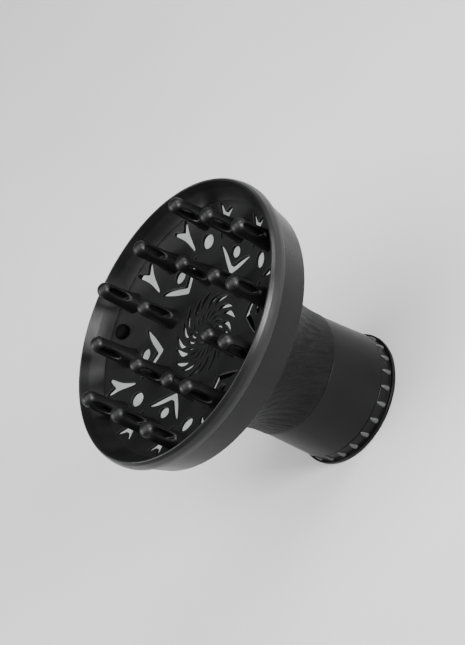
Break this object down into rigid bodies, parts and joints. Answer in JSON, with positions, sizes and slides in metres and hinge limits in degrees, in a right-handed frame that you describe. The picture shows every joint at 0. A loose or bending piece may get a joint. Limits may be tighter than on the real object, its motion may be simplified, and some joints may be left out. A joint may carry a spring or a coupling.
{
  "type": "hair dryer diffuser",
  "caption": "Wide bowl diffuser with a pierced face and hollow slotted fingers; a turning grip ring closes jaws in its collar on a dryer barrel.",
  "frame": {"origin": "on the axis, in the plane of the grip ring's end face, which is the lowest plane of the part", "axes": "+Z along the axis and the air flow, from the collar to the finger tips; +X through the first finger of the inner and outer rings"},
  "size_m": [0.17, 0.17, 0.1436],
  "materials": {
    "satin_black": "satin black moulded plastic",
    "face_black": "fine-grained satin charcoal plastic",
    "gloss_black": "polished black plastic",
    "pale_liner": "pale grey satin plastic",
    "inner_black": "glass-filled black nylon",
    "rubber_pad": "soft black silicone",
    "pin_steel": "ground steel"
  },
  "bodies": {
    "housing": {"front_rim": "satin_black", "face_plate": "face_black", "rosette_grille": "face_black", "blanking_plug": "gloss_black", "inner_finger_1": "gloss_black", "inner_finger_2": "gloss_black", "inner_finger_3": "gloss_black", "inner_finger_4": "gloss_black", "inner_finger_5": "gloss_black", "inner_finger_6": "gloss_black", "middle_finger_1": "gloss_black", "middle_finger_2": "gloss_black", "middle_finger_3": "gloss_black", "middle_finger_4": "gloss_black", "middle_finger_5": "gloss_black", "middle_finger_6": "gloss_black", "outer_finger_1": "gloss_black", "outer_finger_2": "gloss_black", "outer_finger_3": "gloss_black", "outer_finger_4": "gloss_black", "outer_finger_5": "gloss_black", "outer_finger_6": "gloss_black", "rear_shell": "satin_black", "inner_liner": "pale_liner", "collar_sleeve": "satin_black", "jaw_carrier": "inner_black", "jaw_pin_1": "pin_steel", "jaw_pin_2": "pin_steel", "jaw_pin_3": "pin_steel", "jaw_pin_4": "pin_steel", "jaw_pin_5": "pin_steel", "jaw_pin_6": "pin_steel"},
    "turning_ring": {"grip_ring": "satin_black"},
    "swinging_jaw_1": {"jaw_1": "inner_black", "jaw_pad_1": "rubber_pad"},
    "swinging_jaw_2": {"jaw_2": "inner_black", "jaw_pad_2": "rubber_pad"},
    "swinging_jaw_3": {"jaw_3": "inner_black", "jaw_pad_3": "rubber_pad"},
    "swinging_jaw_4": {"jaw_4": "inner_black", "jaw_pad_4": "rubber_pad"},
    "swinging_jaw_5": {"jaw_5": "inner_black", "jaw_pad_5": "rubber_pad"},
    "swinging_jaw_6": {"jaw_6": "inner_black", "jaw_pad_6": "rubber_pad"}
  },
  "joints": [
    {"name": "ring_turn", "type": "hinge", "parent": "housing", "child": "turning_ring", "pos_m": [0, 0, 0.004], "axis": [0, 0, 1], "range_deg": [0, 50]},
    {"name": "jaw_swing_1", "type": "hinge", "parent": "housing", "child": "swinging_jaw_1", "pos_m": [0.0328, 0, 0.0114], "axis": [0, 0, 1], "range_deg": [0, 25]},
    {"name": "jaw_swing_2", "type": "hinge", "parent": "housing", "child": "swinging_jaw_2", "pos_m": [0.0164, 0.02841, 0.0114], "axis": [0, 0, 1], "range_deg": [0, 25]},
    {"name": "jaw_swing_3", "type": "hinge", "parent": "housing", "child": "swinging_jaw_3", "pos_m": [-0.0164, 0.02841, 0.0114], "axis": [0, 0, 1], "range_deg": [0, 25]},
    {"name": "jaw_swing_4", "type": "hinge", "parent": "housing", "child": "swinging_jaw_4", "pos_m": [-0.0328, 0, 0.0114], "axis": [0, 0, 1], "range_deg": [0, 25]},
    {"name": "jaw_swing_5", "type": "hinge", "parent": "housing", "child": "swinging_jaw_5", "pos_m": [-0.0164, -0.02841, 0.0114], "axis": [0, 0, 1], "range_deg": [0, 25]},
    {"name": "jaw_swing_6", "type": "hinge", "parent": "housing", "child": "swinging_jaw_6", "pos_m": [0.0164, -0.02841, 0.0114], "axis": [0, 0, 1], "range_deg": [0, 25]}
  ],
  "couplings": [
    {"joint": "jaw_swing_1", "follows": "ring_turn", "ratio": 0.5},
    {"joint": "jaw_swing_2", "follows": "ring_turn", "ratio": 0.5},
    {"joint": "jaw_swing_3", "follows": "ring_turn", "ratio": 0.5},
    {"joint": "jaw_swing_4", "follows": "ring_turn", "ratio": 0.5},
    {"joint": "jaw_swing_5", "follows": "ring_turn", "ratio": 0.5},
    {"joint": "jaw_swing_6", "follows": "ring_turn", "ratio": 0.5}
  ]
}
